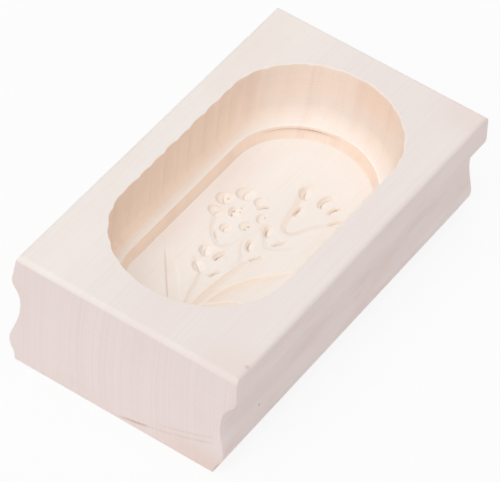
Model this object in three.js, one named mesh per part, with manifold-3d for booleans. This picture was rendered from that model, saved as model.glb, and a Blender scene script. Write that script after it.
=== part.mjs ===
// A butter mould: one block of pale wood with finger coves along its sides,
// a long oval hollow for the butter, and a flower sprig carved into its floor.
// Millimetres, +Z up. The block stands on z = 0, its length runs along X and
// the origin is the middle of its underside.

import * as THREE from "three";
import { mergeVertices } from "three/addons/utils/BufferGeometryUtils.js";
import Module from "manifold-3d";

const wasm = await Module();
wasm.setup();

// Block
const block_length = 174;
const block_width = 97; // at the fullest part of the upper band
const block_height = 51;
const end_chamfer = 1.7; // on the top edge of each end
const top_round = 1.9; // on the long top edges

// Side moulding, the same on both long sides: insets are measured from the
// fullest part of the band
const band_height = 11.3;
const band_lean = 0.9; // how far the band leans in at the top
const cove_inset = 4.8;
const nose_inset = 1.6;
const nose_height = 10.2; // of the nose's crest above the base
const foot_inset = 4.7;
const foot_height = 0.5;
const cove_place = 0.465; // share of the way down from the band to the nose
// How far each curve of the moulding runs straight down from, or into, its
// crest or hollow, as a share of the curve's fall
const band_to_cove = { out: 0.38, into: 0.77 };
const cove_to_nose = { out: 0.4, into: 0.17 };
const nose_to_foot = { out: 0.57, into: 0.53 };

// Hollow: a long oval with straight sides and half-round ends, cut a little off
// the block's middle. The walls are measured at the rim, at their thinnest.
const near_wall = 18.1; // at the end where the sprig's stems start
const far_wall = 15.1;
const left_wall = 12.3; // on the +Y side
const right_wall = 14.3;
const bottom_thickness = 18.6; // under the carved floor
const wall_draft = 1; // degrees
const corner_height = 7.5; // of the curve where the wall turns into the ledge
const corner_width = 5.05;
const corner_fullness = 1.2; // 1 is a quarter of an ellipse, more is straighter towards the ledge
const ledge_width = 0.15;
const panel_depth = 5.4; // from the ledge down to the carved floor
const panel_lean = 1.4; // how far the panel's edge leans in on the way down

// Gouge flutes down the wall
const flute_width = 9.1;
const flute_depth = 0.5;

// Sprig: how far the drawing keeps from the floor's two ends and from its sides
const sprig_near_margin = 11;
const sprig_far_margin = 21;
const sprig_side_margin = 4;
const petal_cut_depth = 1.8;
const petal_line_width = 0.6; // of the narrow bed along a petal's stabbed line
const stem_cut_depth = 0.6;
const leaf_cut_depth = 0.9;
const dot_diameter = 1;
const dot_depth = 2.2;
const cut_rise = 0.3; // how far the sprig's cuts start above the floor

const overrun = 1; // how far a cutting tool stands out of the wood

// Worked out from the sizes above
const half_length = block_length / 2;
const half_width = block_width / 2;
const middle_x = (near_wall - far_wall) / 2; // of the hollow
const middle_y = (right_wall - left_wall) / 2;
const rim_radius = (block_width - left_wall - right_wall) / 2;
const oval_reach = (block_length - near_wall - far_wall) / 2 - rim_radius; // to each end's centre
const floor_z = bottom_thickness;
const ledge_depth = block_height - bottom_thickness - panel_depth;
const draft_slope = Math.tan(THREE.MathUtils.degToRad(wall_draft));
const corner_depth = ledge_depth - corner_height; // where the wall starts to turn
const corner_edge = rim_radius - draft_slope * corner_depth;
const ledge_edge = corner_edge - corner_width - ledge_width;
const floor_radius = ledge_edge - panel_lean;

// The sprig is drawn in a box from DRAWN_LOW to DRAWN_HIGH, in millimetres on
// the floor from the middle of the hollow, then stretched to fill the floor
// inside its margins.
const DRAWN_LOW = new THREE.Vector2(-52.5, -24.3);
const DRAWN_HIGH = new THREE.Vector2(42.5, 24.3);

// Leaves, stems and outlines are long cuts along a route of hand-placed points.
// deep is where the cut is deepest across its width: 1 is at its left edge
// as it is travelled, 0 in its middle.
const LEAVES = [
  {
    route: [
      [-52.4, -0.8], [-46.6, 2.5], [-41, 6.4], [-35.4, 10.4], [-30.3, 14.4], [-25.7, 18.6], [-22.4, 22.4],
    ],
    width: 5.2,
    deep: 0.84,
  },
  {
    route: [
      [-51.5, -1.6], [-43.4, -4.4], [-36.4, -7.3], [-29.6, -9.7], [-23, -11.9], [-16.4, -14.4],
      [-9, -17.8], [-1.5, -22.6],
    ],
    width: 9.4,
    deep: 0.4,
  },
  {
    route: [
      [-49.5, -1.8], [-43.6, -3.3], [-38.3, -5.9], [-34.6, -9.2], [-31.1, -12.7], [-28.6, -16.2],
      [-26.2, -20.4],
    ],
    width: 5,
    deep: 0.5,
  },
];

const STEMS = [
  {
    route: [
      [-51.8, -2.4], [-46, -0.9], [-40.4, 0.6], [-34.9, 2.2], [-29.7, 3.5], [-25.9, 4.5], [-23.4, 6.2],
    ],
    width: 3.2,
    deep: 0.1,
  },
  {
    route: [
      [-51.6, -2.4], [-45.2, -2.6], [-38.5, -2.5], [-31.5, -2.8], [-24.8, -3.5], [-18, -4.2], [-12, -4.8],
      [-9, -5],
    ],
    width: 4,
    deep: 0.1,
  },
];

const OUTLINES = [
  // lower left blossom
  {
    route: [
      [-25.4, 4.6], [-24.3, 5.9], [-23.2, 8], [-22.3, 9.6], [-20.8, 11.2], [-18.7, 12], [-17.2, 11.5],
    ],
    width: 1.5,
    deep: 0.5,
  },
  { route: [[-15.8, 11.2], [-14.3, 12.6], [-12.3, 13.3], [-10.5, 13]], width: 1.5, deep: 0.5 },
  // round flower's cup
  {
    route: [
      [2.4, 18.3], [-0.6, 17], [-3.6, 15.3], [-6.2, 13.1], [-8, 10.8], [-9, 8.6], [-8.5, 6.8], [-6.4, 5],
      [-3.4, 3.8], [-0.6, 3.6],
    ],
    width: 1.5,
    deep: 0.5,
  },
  { route: [[-6, 10.6], [-4.3, 12], [-2.4, 13.3]], width: 1.2, deep: 0.3 },
  // buds
  {
    route: [
      [-5, -1.5], [-7.8, -1.4], [-9.8, -2], [-10.6, -3.4], [-9.5, -5.4], [-8, -7.4],
    ],
    width: 1.4,
    deep: 0.2,
  },
  {
    route: [
      [4.8, -3.2], [2.8, -4.7], [1.7, -6.3], [2.4, -8.3], [4.1, -10.6], [5.9, -12.6], [7.8, -13.8],
    ],
    width: 1.4,
    deep: 0.2,
  },
  // bell flower
  {
    route: [
      [41.2, -0.9], [38.6, 0.4], [33.4, -0.6], [27.4, -2.4], [21.6, -3.3], [16.8, -4.1], [13.6, -5.8],
      [12.6, -8],
    ],
    width: 2,
    deep: -0.1,
  },
  {
    route: [
      [12.9, -7], [12.8, -9], [14, -10.7], [16.2, -12.1], [19.1, -13.5], [21.8, -15.2], [24.4, -17.2],
      [26.6, -19.4],
    ],
    width: 1.8,
    deep: 0.5,
  },
];

// A petal is stabbed with a gouge along a line through its place, and cut down
// to that line from an outline that reaches ahead of it, the way the petal
// faces in degrees from +X towards +Y, and behind it. share is its share of the
// petals' depth.
const PETALS = [
  // round flower: its ring, its cup and its heart
  { at: [6, 18.7], faces: 75, wide: 5, ahead: 3.9, behind: 3.2, share: 0.82 },
  { at: [13.5, 20.3], faces: 128, wide: 6.6, ahead: 3.1, behind: 5.4, share: 0.75 },
  { at: [20.5, 15.3], faces: 102, wide: 6.6, ahead: 3.5, behind: 5.2, share: 0.71 },
  { at: [20.5, 8.3], faces: 98, wide: 5.4, ahead: 2.4, behind: 3, share: 0.44 },
  { at: [18.9, 5.8], faces: 53, wide: 5.4, ahead: 1, behind: 1.9, share: 0.53 },
  { at: [1.2, 11.7], faces: 95, wide: 4.8, ahead: 2, behind: 3, share: 0.83 },
  { at: [6.5, 5.7], faces: 78, wide: 5.2, ahead: 2.6, behind: 3.2, share: 0.64 },
  { at: [13.3, 3.3], faces: 108, wide: 5.2, ahead: 1.8, behind: 3.4, share: 0.42 },
  { at: [10.1, 13.9], faces: 99, wide: 5.4, ahead: 1.5, behind: 3.8, share: 0.75 },
  // lower left blossom
  { at: [-22.2, 8], faces: 140, wide: 6.4, ahead: 2.4, behind: 3.2, share: 0.83 },
  { at: [-13.6, 10.7], faces: 119, wide: 6, ahead: 2.4, behind: 3.6, share: 0.87 },
  { at: [-12.5, 4.9], faces: 76, wide: 6.6, ahead: 1.6, behind: 2.4, share: 0.83 },
  { at: [-21.5, 1.4], faces: 72, wide: 5.6, ahead: 0.9, behind: 1.9, share: 0.72 },
  // buds
  { at: [-0.9, -0.5], faces: 109, wide: 6.8, ahead: 1.2, behind: 2.8, share: 0.81 },
  { at: [-5.2, -6.3], faces: 57, wide: 6, ahead: 0.8, behind: 1.8, share: 0.69 },
  { at: [9.5, -1.9], faces: 112, wide: 6.4, ahead: 1.2, behind: 2.8, share: 0.86 },
  { at: [6.7, -9], faces: 59, wide: 5.8, ahead: 0.8, behind: 1.9, share: 0.69 },
  // bell flower
  { at: [26.2, -5], faces: 89, wide: 6.4, ahead: 0.9, behind: 2.8, share: 0.89 },
  { at: [35.6, -2.3], faces: 110, wide: 6.4, ahead: 2.6, behind: 3.2, share: 1 },
  { at: [36.6, -10], faces: 86, wide: 7.8, ahead: 1.5, behind: 3.2, share: 1 },
  { at: [34.8, -15.4], faces: 70, wide: 6.2, ahead: 0.8, behind: 2.3, share: 0.89 },
  { at: [29.7, -19.5], faces: 57, wide: 6.6, ahead: 0.9, behind: 1.9, share: 0.83 },
];

// Stamens pricked into the flowers
const DOTS = [[14.7, 18.8], [10.7, 13.4], [8.8, 13.3], [15, 2.4], [5, 4.9], [7, 4.8]];

const wood = new THREE.MeshStandardMaterial({
  name: "wood",
  color: new THREE.Color().setRGB(0.93, 0.87, 0.82, THREE.SRGBColorSpace),
  roughness: 0.62,
  metalness: 0,
});

// Solids
function toSolid(geometry) {
  const bare = new THREE.BufferGeometry();
  bare.setAttribute("position", geometry.getAttribute("position"));
  bare.setIndex(geometry.getIndex());
  const merged = mergeVertices(bare, 1e-4);
  const vertProperties = Float32Array.from(merged.getAttribute("position").array);
  const triVerts = Uint32Array.from(merged.getIndex().array);
  return new wasm.Manifold(new wasm.Mesh({ numProp: 3, vertProperties, triVerts }));
}

function toGeometry(solid) {
  const mesh = solid.getMesh();
  const geometry = new THREE.BufferGeometry();
  geometry.setAttribute("position", new THREE.BufferAttribute(mesh.vertProperties, 3));
  geometry.setIndex(new THREE.BufferAttribute(mesh.triVerts, 1));
  geometry.computeVertexNormals();
  return geometry;
}

// Joins rings of points into one closed surface, with a fan over the first ring
// and over the last. Seen from the first ring's side, each runs anticlockwise.
function stackRings(rings) {
  const points = rings.flat();
  const count = rings[0].length;
  const faces = [];
  for (let level = 0; level + 1 < rings.length; level += 1) {
    for (let i = 0; i < count; i += 1) {
      const above = level * count + i;
      const aboveNext = level * count + ((i + 1) % count);
      faces.push(above, above + count, aboveNext, aboveNext, above + count, aboveNext + count);
    }
  }
  const top = points.push(middleOf(rings[0])) - 1;
  const bottom = points.push(middleOf(rings.at(-1))) - 1;
  const lastRing = (rings.length - 1) * count;
  for (let i = 0; i < count; i += 1) {
    const next = (i + 1) % count;
    faces.push(top, i, next);
    faces.push(bottom, lastRing + next, lastRing + i);
  }
  const geometry = new THREE.BufferGeometry().setFromPoints(points);
  geometry.setIndex(faces);
  return geometry;
}

function middleOf(ring) {
  const middle = new THREE.Vector3();
  ring.forEach((point) => middle.add(point));
  return middle.divideScalar(ring.length);
}

// Block
function sideMoulding() {
  // Half the block's end outline, from the middle of the top down to the base.
  const band_z = block_height - band_height;
  const cove_z = THREE.MathUtils.lerp(band_z, nose_height, cove_place);
  const upper_fall = band_z - cove_z;
  const lower_fall = cove_z - nose_height;
  const nose_fall = nose_height - foot_height;
  const band = half_width;
  const cove = half_width - cove_inset;
  const nose = half_width - nose_inset;
  const foot = half_width - foot_inset;
  const top = half_width - band_lean;
  const half = new THREE.Path();
  half.moveTo(0, block_height);
  half.lineTo(top - top_round, block_height);
  half.quadraticCurveTo(top, block_height, top, block_height - top_round);
  half.lineTo(band, band_z);
  half.bezierCurveTo(
    band, band_z - band_to_cove.out * upper_fall,
    cove, cove_z + band_to_cove.into * upper_fall,
    cove, cove_z,
  );
  half.bezierCurveTo(
    cove, cove_z - cove_to_nose.out * lower_fall,
    nose, nose_height + cove_to_nose.into * lower_fall,
    nose, nose_height,
  );
  half.bezierCurveTo(
    nose, nose_height - nose_to_foot.out * nose_fall,
    foot, foot_height + nose_to_foot.into * nose_fall,
    foot, foot_height,
  );
  half.lineTo(foot, 0);
  return half.getPoints(8);
}

function mouldedBar() {
  const right = sideMoulding();
  const left = right.slice(1).map((point) => new THREE.Vector2(-point.x, point.y));
  const outline = new THREE.Shape([...left.reverse(), ...right]);
  const bar = new THREE.ExtrudeGeometry(outline, { depth: block_length, bevelEnabled: false });
  bar.translate(0, 0, -half_length);
  const lengthways = new THREE.Matrix4().makeBasis(
    new THREE.Vector3(0, 1, 0),
    new THREE.Vector3(0, 0, 1),
    new THREE.Vector3(1, 0, 0),
  );
  return toSolid(bar.applyMatrix4(lengthways));
}

function endTrim() {
  // Everything between the two ends, with the top edge of each end chamfered.
  const outline = new THREE.Shape();
  outline.moveTo(-half_length, -overrun);
  outline.lineTo(half_length, -overrun);
  outline.lineTo(half_length, block_height - end_chamfer);
  outline.lineTo(half_length - end_chamfer, block_height);
  outline.lineTo(half_length - end_chamfer, block_height + overrun);
  outline.lineTo(end_chamfer - half_length, block_height + overrun);
  outline.lineTo(end_chamfer - half_length, block_height);
  outline.lineTo(-half_length, block_height - end_chamfer);
  const trim = new THREE.ExtrudeGeometry(outline, { depth: block_width + 2 * overrun, bevelEnabled: false });
  trim.translate(0, 0, -half_width - overrun);
  return toSolid(trim.rotateX(Math.PI / 2));
}

// Hollow
// Stations go once round the oval: where the oval's spine is nearest, which way
// is outwards there, and how far along its flute the station is, from 0 to 1.
function ovalStations(stepsPerFlute) {
  const around = 4 * oval_reach + 2 * Math.PI * rim_radius;
  const flutes = Math.round(around / flute_width);
  const straight = (2 * oval_reach) / around;
  const round = 0.5 - straight;
  const stations = [];
  for (let i = 0; i < flutes * stepsPerFlute; i += 1) {
    const share = i / (flutes * stepsPerFlute);
    const side = share < 0.5 ? 1 : -1; // the second half is the first turned about
    const part = share % 0.5;
    const turned = part < round ? (part / round) * Math.PI - Math.PI / 2 : Math.PI / 2;
    const spine = part < round ? oval_reach : oval_reach - ((part - round) / straight) * 2 * oval_reach;
    stations.push({
      spine: side * spine,
      outX: side * Math.cos(turned),
      outY: side * Math.sin(turned),
      flute: (i % stepsPerFlute) / stepsPerFlute,
    });
  }
  return stations;
}

function ovalRing(stations, radius, z, fluteDepth) {
  return stations.map(({ spine, outX, outY, flute }) => {
    const reach = radius + fluteDepth * (1 - (2 * flute - 1) ** 2);
    return new THREE.Vector3(
      middle_x + spine + reach * outX,
      middle_y + reach * outY,
      z,
    );
  });
}

function butterSpace() {
  // The fluted wall, its rounded foot and the ledge.
  const stations = ovalStations(4);
  const top_radius = rim_radius + draft_slope * overrun;
  const rings = [ovalRing(stations, top_radius, block_height + overrun, flute_depth)];
  const corner_steps = 6;
  for (let step = 0; step <= corner_steps; step += 1) {
    const turn = (step / corner_steps) * (Math.PI / 2);
    const across = Math.max(Math.cos(turn), 0);
    const radius = corner_edge - corner_width * (1 - across ** corner_fullness);
    const z = block_height - corner_depth - corner_height * Math.sin(turn);
    rings.push(ovalRing(stations, radius, z, flute_depth * across));
  }
  return toSolid(stackRings(rings));
}

function picturePanel() {
  // The shallow step below the ledge, down to the carved floor.
  const stations = ovalStations(2);
  const ledge_z = block_height - ledge_depth;
  return toSolid(stackRings([
    ovalRing(stations, ledge_edge, ledge_z + overrun, 0),
    ovalRing(stations, ledge_edge, ledge_z, 0),
    ovalRing(stations, floor_radius, floor_z, 0),
  ]));
}

// Sprig
const floor_half_length = oval_reach + floor_radius;
const sprig_low = new THREE.Vector2(
  sprig_near_margin - floor_half_length,
  sprig_side_margin - floor_radius,
);
const sprig_high = new THREE.Vector2(
  floor_half_length - sprig_far_margin,
  floor_radius - sprig_side_margin,
);

function onFloor([along, across]) {
  const { mapLinear } = THREE.MathUtils;
  return new THREE.Vector3(
    middle_x + mapLinear(along, DRAWN_LOW.x, DRAWN_HIGH.x, sprig_low.x, sprig_high.x),
    middle_y + mapLinear(across, DRAWN_LOW.y, DRAWN_HIGH.y, sprig_low.y, sprig_high.y),
    floor_z,
  );
}

function longCut({ route, width, deep }, depth, taper) {
  // A three-cornered groove along a smooth curve, running out at both ends.
  const steps = 2 + 3 * (route.length - 1);
  const curve = new THREE.CatmullRomCurve3(route.map(onFloor));
  const lift = cut_rise / depth; // the walls go on above the floor at their slope
  const rings = [];
  for (let step = 0; step <= steps; step += 1) {
    const t = THREE.MathUtils.lerp(0.01, 0.99, step / steps);
    const size = Math.sin(Math.PI * t) ** taper;
    const middle = curve.getPointAt(t);
    const ahead = curve.getTangentAt(t);
    const left = new THREE.Vector3(-ahead.y, ahead.x, 0);
    const half = (width / 2) * size;
    const bed = middle.clone().addScaledVector(left, deep * half);
    bed.z -= depth * size;
    const leftEdge = middle.clone().addScaledVector(left, half + (1 - deep) * half * lift);
    const rightEdge = middle.clone().addScaledVector(left, -half - (1 + deep) * half * lift);
    leftEdge.z += cut_rise * size;
    rightEdge.z += cut_rise * size;
    rings.push([bed, rightEdge, leftEdge]);
  }
  return toSolid(stackRings(rings));
}

function petalCut({ at, faces, wide, ahead, behind, share }) {
  const depth = petal_cut_depth * share;
  const line = onFloor(at);
  const facing = THREE.MathUtils.degToRad(faces);
  const forward = new THREE.Vector3(Math.cos(facing), Math.sin(facing), 0);
  const left = new THREE.Vector3(-forward.y, forward.x, 0);
  const count = 12;
  const rim = [];
  const bed = [];
  for (let i = 0; i < count; i += 1) {
    const turn = (i / count) * 2 * Math.PI;
    const reach = Math.cos(turn) > 0 ? ahead : behind;
    const outline = line.clone();
    outline.addScaledVector(forward, reach * Math.cos(turn));
    outline.addScaledVector(left, (wide / 2) * Math.sin(turn));
    const low = line.clone();
    low.addScaledVector(forward, (petal_line_width / 2) * Math.cos(turn));
    low.addScaledVector(left, 0.35 * wide * Math.sin(turn));
    low.z -= depth;
    bed.push(low);
    rim.push(low.clone().lerp(outline, 1 + cut_rise / depth)); // on past the outline, above the floor
  }
  return toSolid(stackRings([rim, bed]));
}

function dotCut(at) {
  const height = dot_depth + cut_rise;
  const dot = new THREE.CylinderGeometry(dot_diameter / 2, dot_diameter / 4, height, 6);
  dot.rotateX(Math.PI / 2);
  const place = onFloor(at);
  dot.translate(place.x, place.y, floor_z - dot_depth + height / 2);
  return toSolid(dot);
}

function sprigCuts() {
  const cuts = [
    ...LEAVES.map((leaf) => longCut(leaf, leaf_cut_depth, 0.8)),
    ...STEMS.map((stem) => longCut(stem, stem_cut_depth, 0.4)),
    ...OUTLINES.map((outline) => longCut(outline, stem_cut_depth, 0.5)),
    ...PETALS.map(petalCut),
    ...DOTS.map(dotCut),
  ];
  return cuts.reduce((sprig, cut) => sprig.add(cut));
}

// Assembly
const carved = mouldedBar()
  .intersect(endTrim())
  .subtract(butterSpace())
  .subtract(picturePanel())
  .subtract(sprigCuts());

const mould = new THREE.Group();
const mould_block = new THREE.Mesh(toGeometry(carved), wood);
mould_block.name = "mould_block";
mould.add(mould_block);

export default mould;
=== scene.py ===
import math

import bpy
import numpy as np
from mathutils import Matrix, Vector


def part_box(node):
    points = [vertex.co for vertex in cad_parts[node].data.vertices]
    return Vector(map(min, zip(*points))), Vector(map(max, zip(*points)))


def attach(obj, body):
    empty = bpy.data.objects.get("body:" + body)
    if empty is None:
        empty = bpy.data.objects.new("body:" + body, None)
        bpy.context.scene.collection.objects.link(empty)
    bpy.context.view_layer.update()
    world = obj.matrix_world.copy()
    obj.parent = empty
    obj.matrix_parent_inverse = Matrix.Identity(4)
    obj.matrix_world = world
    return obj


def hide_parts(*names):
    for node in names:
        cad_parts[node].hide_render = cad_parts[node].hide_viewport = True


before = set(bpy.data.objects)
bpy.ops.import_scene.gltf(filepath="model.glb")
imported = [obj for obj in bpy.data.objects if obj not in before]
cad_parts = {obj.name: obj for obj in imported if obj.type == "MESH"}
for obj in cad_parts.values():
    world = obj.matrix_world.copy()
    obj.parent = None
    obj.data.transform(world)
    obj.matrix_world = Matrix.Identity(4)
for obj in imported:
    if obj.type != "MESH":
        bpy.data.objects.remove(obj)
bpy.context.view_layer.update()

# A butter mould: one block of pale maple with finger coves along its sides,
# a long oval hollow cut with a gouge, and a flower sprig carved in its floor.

# Sizes in millimetres, turned to metres when the mesh is made
MM = 0.001
BLOCK_LOW, BLOCK_HIGH = (np.array(corner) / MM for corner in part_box("mould_block"))
HALF_LENGTH = (BLOCK_HIGH[0] - BLOCK_LOW[0]) / 2
HALF_WIDTH = (BLOCK_HIGH[1] - BLOCK_LOW[1]) / 2
HEIGHT = BLOCK_HIGH[2] - BLOCK_LOW[2]

# Outside: insets are measured from the fullest part of the upper band
END_CHAMFER = 1.7
TOP_ROUND = 1.9
BAND_HEIGHT = 11.3
BAND_LEAN = 0.9
COVE_INSET = 4.8
NOSE_INSET = 1.6
NOSE_HEIGHT = 10.2
FOOT_INSET = 4.7
FOOT_HEIGHT = 0.5
COVE_PLACE = 0.465  # share of the way down from the band to the nose
# How far each curve of the moulding runs straight down from its start, and into
# its end, as shares of its fall
BAND_TO_COVE = (0.38, 0.77)
COVE_TO_NOSE = (0.4, 0.17)
NOSE_TO_FOOT = (0.57, 0.53)
CORNER_EASE = 0.4  # of the four upright corners
BASE_EASE = 0.3
CHAMFER_SOFTNESS = 0.12
FACE_SUPPORT = 0.5  # from the edge of the top and the base to their flat faces

# Hollow: a long oval with straight sides and half-round ends
MIDDLE = np.array([1.5, 1.0])
RIM_RADIUS = 35.2
REACH = 35.2  # from the hollow's middle to the centre of each round end
WALL_DEPTH = 27.0
CORNER_HEIGHT = 7.5  # of the curve that turns the wall into the ledge
CORNER_FULLNESS = 1.2  # 1 is a quarter of an ellipse, more is straighter towards the ledge
DRAFT = math.tan(math.radians(1.0))
CORNER_EDGE = RIM_RADIUS - DRAFT * (WALL_DEPTH - CORNER_HEIGHT)
LEDGE_EDGE = 29.666  # radius where the ledge ends and the step starts
LEDGE_WIDTH = 0.15
PANEL_DEPTH = 5.4  # from the ledge down to the floor
PANEL_LEAN = 1.4  # how far the step leans in on the way down
FLOOR_RADIUS = LEDGE_EDGE - PANEL_LEAN
FLOOR_Z = HEIGHT - WALL_DEPTH - PANEL_DEPTH
RIM_EASE = 0.35
RIM_LENGTH = 4 * REACH + 2 * math.pi * RIM_RADIUS

# Gouge flutes down the wall: how many, how unlike in width, and how deep
FLUTES = 40
FLUTE_WIDTHS = (0.86, 1.14)
FLUTE_DEPTHS = (0.38, 0.62)

# Step: how far below the ledge each of its rings lies, close together at the
# groove that runs along it at the far end, painted dark as a burn mark and as shade
STEP_FALL = np.array([5.28, 5.05, 4.6, 3.8, 2.9, 2.2, 1.86, 1.7, 1.5, 1.3, 1.14, 0.8, 0.35, 0.12, 0.0])
GROOVE_FALL = 1.5
GROOVE_WIDTH = 0.25
GROOVE_DEPTH = 0.55

# Under the sprig, between these two, the floor's columns are close together
SPRIG_NEAR = -53.5
SPRIG_FAR = 42.5

# The sprig is laid out in millimetres on the floor from the hollow's middle.
# Leaves, stems and outlines follow a route. Deep is where across its width a
# cut is deepest, from -1 at its right edge to 1 at its left as it is travelled.
# Dark is the painted shade and burn along its deepest place. Warm and reach are
# the strength and width of the warm shade painted beside its left edge, and rim
# is how strong the highlight painted on that edge is.
LEAVES = [
    dict(route=[(-52.4, -0.8), (-46.6, 2.5), (-41.0, 6.4), (-35.4, 10.4), (-30.3, 14.4), (-25.7, 18.6),
                (-22.4, 22.4)],
         width=5.2, deep=0.84, depth=0.8, taper=0.7, dark=0.12, warm=0.5, reach=4.0),
    dict(route=[(-51.5, -1.6), (-43.4, -4.4), (-36.4, -7.3), (-29.6, -9.7), (-23.0, -11.9), (-16.4, -14.4),
                (-9.0, -17.8), (-1.5, -22.6)],
         width=9.4, deep=0.4, depth=1.0, taper=1.1, warm=1.9, reach=2.8, rim=0.5),
    dict(route=[(-49.5, -1.8), (-43.6, -3.3), (-38.3, -5.9), (-34.6, -9.2), (-31.1, -12.7), (-28.6, -16.2),
                (-26.2, -20.4)],
         width=5.0, deep=0.5, depth=0.7, taper=0.8, warm=1.7, reach=1.7, rim=0.8),
]
STEMS = [
    dict(route=[(-51.8, -2.4), (-46.0, -0.9), (-40.4, 0.6), (-34.9, 2.2), (-29.7, 3.5), (-25.9, 4.5),
                (-23.4, 6.2)],
         width=3.2, deep=0.1, depth=0.7, taper=0.3, dark=0.08, warm=1.2),
    dict(route=[(-51.6, -2.4), (-45.2, -2.6), (-38.5, -2.5), (-31.5, -2.8), (-24.8, -3.5), (-18.0, -4.2),
                (-12.0, -4.8), (-9.0, -5.0)],
         width=4.0, deep=0.1, depth=0.7, taper=0.35, dark=0.06, warm=1.7, reach=2.2),
]
OUTLINES = [
    # lower left blossom
    dict(route=[(-25.4, 4.6), (-24.3, 5.9), (-23.2, 8.0), (-22.3, 9.6), (-20.8, 11.2), (-18.7, 12.0),
                (-17.2, 11.5)],
         width=1.5, depth=0.2, dark=0.07),
    dict(route=[(-15.8, 11.2), (-14.3, 12.6), (-12.3, 13.3), (-10.5, 13.0)],
         width=1.5, depth=0.2, dark=0.04),
    # cup of the round flower, and a line inside it
    dict(route=[(2.4, 18.3), (-0.6, 17.0), (-3.6, 15.3), (-6.2, 13.1), (-8.0, 10.8), (-9.0, 8.6),
                (-8.5, 6.8), (-6.4, 5.0), (-3.4, 3.8), (-0.6, 3.6)],
         width=1.5, depth=0.15, dark=0.08),
    dict(route=[(-6.0, 10.6), (-4.3, 12.0), (-2.4, 13.3)], width=1.2, deep=0.3, depth=0.6, dark=0.25),
    # buds
    dict(route=[(-5.0, -1.5), (-7.8, -1.4), (-9.8, -2.0), (-10.6, -3.4), (-9.5, -5.4), (-8.0, -7.4)],
         width=1.4, deep=0.2, depth=0.2, dark=0.06),
    dict(route=[(4.8, -3.2), (2.8, -4.7), (1.7, -6.3), (2.4, -8.3), (4.1, -10.6), (5.9, -12.6),
                (7.8, -13.8)],
         width=1.4, deep=0.2, depth=0.3, dark=0.09),
    # bell flower
    dict(route=[(41.2, -0.9), (38.6, 0.4), (33.4, -0.6), (27.4, -2.4), (21.6, -3.3), (16.8, -4.1),
                (13.6, -5.8), (12.6, -8.0)],
         width=2.0, deep=-0.1, depth=0.15, dark=0.06),
    dict(route=[(12.9, -7.0), (12.8, -9.0), (14.0, -10.7), (16.2, -12.1), (19.1, -13.5), (21.8, -15.2),
                (24.4, -17.2), (26.6, -19.4)],
         width=1.8, depth=0.25, dark=0.06),
]

# Petals, each round a curved line stabbed with a gouge: the line's middle, the
# way it faces in degrees from +X towards +Y, half its width, how far the petal
# reaches ahead of the line and behind it, how much the line bends, its depth,
# how dark the line is painted, as shade and burn, and where along its half width
# it is darkest
PETALS = [
    # round flower, its ring, cup and heart
    (6.0, 18.7, 75, 2.5, 3.9, 3.2, 0.2, 1.2, 0.4, 0.0),
    (13.5, 20.3, 128, 3.3, 3.1, 5.4, 0.1, 1.1, 0.35, 0.2),
    (20.5, 15.3, 102, 3.3, 3.5, 5.2, 0.14, 1.0, 0.4, 0.3),
    (20.5, 8.3, 98, 2.7, 2.4, 3.0, 0.09, 0.8, 0.0, 0.0),
    (18.9, 5.8, 53, 2.7, 1.0, 1.9, 0.11, 0.6, 0.7, -0.4),
    (1.2, 11.7, 95, 2.4, 2.0, 3.0, 0.22, 0.8, 0.5, 0.2),
    (6.5, 5.7, 78, 2.6, 2.6, 3.2, 0.07, 0.7, 0.15, 0.0),
    (13.3, 3.3, 108, 2.6, 1.8, 3.4, 0.13, 0.75, 0.0, 0.0),
    (10.1, 13.9, 99, 2.7, 1.5, 3.8, 0.14, 0.9, 0.5, 0.1),
    # lower left blossom
    (-22.2, 8.0, 140, 3.2, 2.4, 3.2, 0.0, 0.8, 0.5, 0.0),
    (-13.6, 10.7, 119, 3.0, 2.4, 3.6, 0.13, 0.9, 0.45, 0.0),
    (-12.5, 4.9, 76, 3.3, 1.6, 2.4, 0.07, 0.8, 0.95, 0.5),
    (-21.5, 1.4, 72, 2.8, 0.9, 1.9, 0.1, 0.6, 0.7, 0.3),
    # buds
    (-0.9, -0.5, 109, 3.4, 1.2, 2.8, 0.12, 0.8, 0.95, 0.2),
    (-5.2, -6.3, 57, 3.0, 0.8, 1.8, 0.05, 0.6, 0.55, 0.8),
    (9.5, -1.9, 112, 3.2, 1.2, 2.8, 0.09, 0.9, 1.0, 0.1),
    (6.7, -9.0, 59, 2.9, 0.8, 1.9, 0.0, 0.6, 0.5, 0.5),
    # bell flower
    (26.2, -5.0, 89, 3.2, 0.9, 2.8, 0.01, 0.7, 1.0, -0.1),
    (35.6, -2.3, 110, 3.2, 2.6, 3.2, 0.07, 0.9, 0.6, 0.1),
    (36.6, -10.0, 86, 3.9, 1.5, 3.2, 0.12, 1.0, 0.85, 0.75),
    (34.8, -15.4, 70, 3.1, 0.8, 2.3, 0.1, 0.7, 0.9, -0.5),
    (29.7, -19.5, 57, 3.3, 0.9, 1.9, 0.07, 0.6, 0.5, 0.3),
]

# Stamens pricked into the flowers: the place, and how dark each is painted, as shade and burn
DOTS = [
    (14.7, 18.8, 0.6), (10.7, 13.4, 1.0), (8.8, 13.3, 0.7), (11.4, 11.2, 0.35), (13.4, 11.9, 0.3),
    (15.0, 2.4, 0.5), (5.0, 4.9, 0.7), (7.0, 4.8, 0.9),
]
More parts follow.
